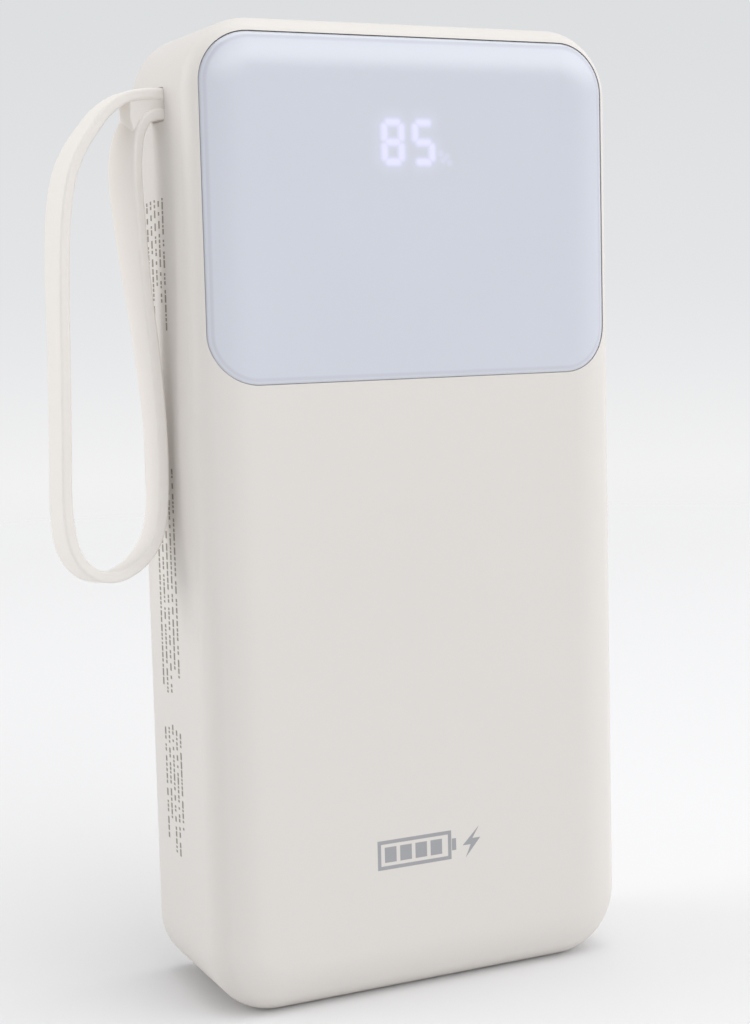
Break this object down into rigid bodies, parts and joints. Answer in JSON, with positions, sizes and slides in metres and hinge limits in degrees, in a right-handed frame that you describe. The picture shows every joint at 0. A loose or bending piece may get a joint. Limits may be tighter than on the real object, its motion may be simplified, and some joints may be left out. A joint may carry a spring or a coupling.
{
  "type": "power bank",
  "caption": "Pocket battery pack with rounded cream shell, milky display window with lit charge digits, USB ports on the end, side button and flat wrist strap.",
  "frame": {"origin": "middle of the bottom end, on the plane that the pack stands on", "axes": "+X across the front towards the power button, -Y out of the display window, +Z from the bottom end to the port end"},
  "size_m": [0.0847, 0.0286, 0.142],
  "materials": {
    "housing": "warm off-white, very fine matte texture",
    "cover": "warm off-white, very fine matte texture",
    "lens": "milky, pale blue-grey, polished",
    "tape": "black foam tape",
    "film": "white diffusing film",
    "frame_white": "white reflector",
    "lit": "clear resin, lit lavender-white",
    "unlit": "clear resin, unlit",
    "led": "phosphor yellow",
    "circuit_board": "green solder mask",
    "pins": "tinned pins",
    "screw": "zinc-plated",
    "port_shell": "drawn nickel-plated steel",
    "port_plastic": "black moulding",
    "port_contact": "gold flash",
    "button": "warm off-white, satin",
    "switch_black": "black moulding",
    "switch_plunger": "ivory moulding",
    "dome": "sprung steel",
    "ferrite": "pressed iron powder",
    "can": "sleeveless can",
    "chip": "epoxy",
    "pouch": "laminated foil",
    "foam": "closed-cell foam",
    "double_tape": "double-sided tape",
    "fish_paper": "insulating paper",
    "nickel": "bare nickel strip",
    "wire_red": "silicone sleeve",
    "wire_black": "silicone sleeve",
    "sensor": "epoxy bead",
    "anchor": "warm off-white",
    "strap": "pale moulded band, satin"
  },
  "bodies": {
    "pack": {"main_housing": "housing", "back_cover": "cover", "display_lens": "lens", "lens_tape": "tape", "diffuser_film": "film", "display_frame": "frame_white", "lit_segments": "lit", "dark_segments": "unlit", "percent_icon": "unlit", "segment_leds": "led", "display_board": "circuit_board", "display_header": "pins", "main_board": "circuit_board", "board_screws": "screw", "usb_c_shell": "port_shell", "usb_c_insulator": "port_plastic", "usb_c_riser": "port_plastic", "usb_a_shell_1": "port_shell", "usb_a_insulator_1": "port_plastic", "usb_a_shell_2": "port_shell", "usb_a_insulator_2": "port_plastic", "usb_a_contacts": "port_contact", "switch_body": "switch_black", "switch_dome": "dome", "inductors": "ferrite", "capacitors": "can", "control_chips": "chip", "front_cell": "pouch", "back_cell": "pouch", "cell_tape": "double_tape", "front_pad": "foam", "back_foam": "foam", "bottom_foam": "foam", "insulating_sheet": "fish_paper", "cell_tabs": "nickel", "positive_lead": "wire_red", "negative_lead": "wire_black", "thermistor": "sensor", "strap_anchor": "anchor", "strap_pin": "screw"},
    "button": {"power_button": "button", "switch_plunger": "switch_plunger"},
    "strap": {"wrist_strap": "strap"}
  },
  "joints": [
    {"name": "button_press", "type": "slide", "parent": "pack", "child": "button", "axis": [-1, 0, 0], "range_m": [0, 0.0004], "stiffness_N_per_m": 3000, "deforming": ["switch_dome"]},
    {"name": "strap_swing", "type": "hinge", "parent": "pack", "child": "strap", "pos_m": [-0.0336, 0, 0.1307], "axis": [0, 1, 0], "range_deg": [0, 110], "deforming": ["wrist_strap"]}
  ]
}
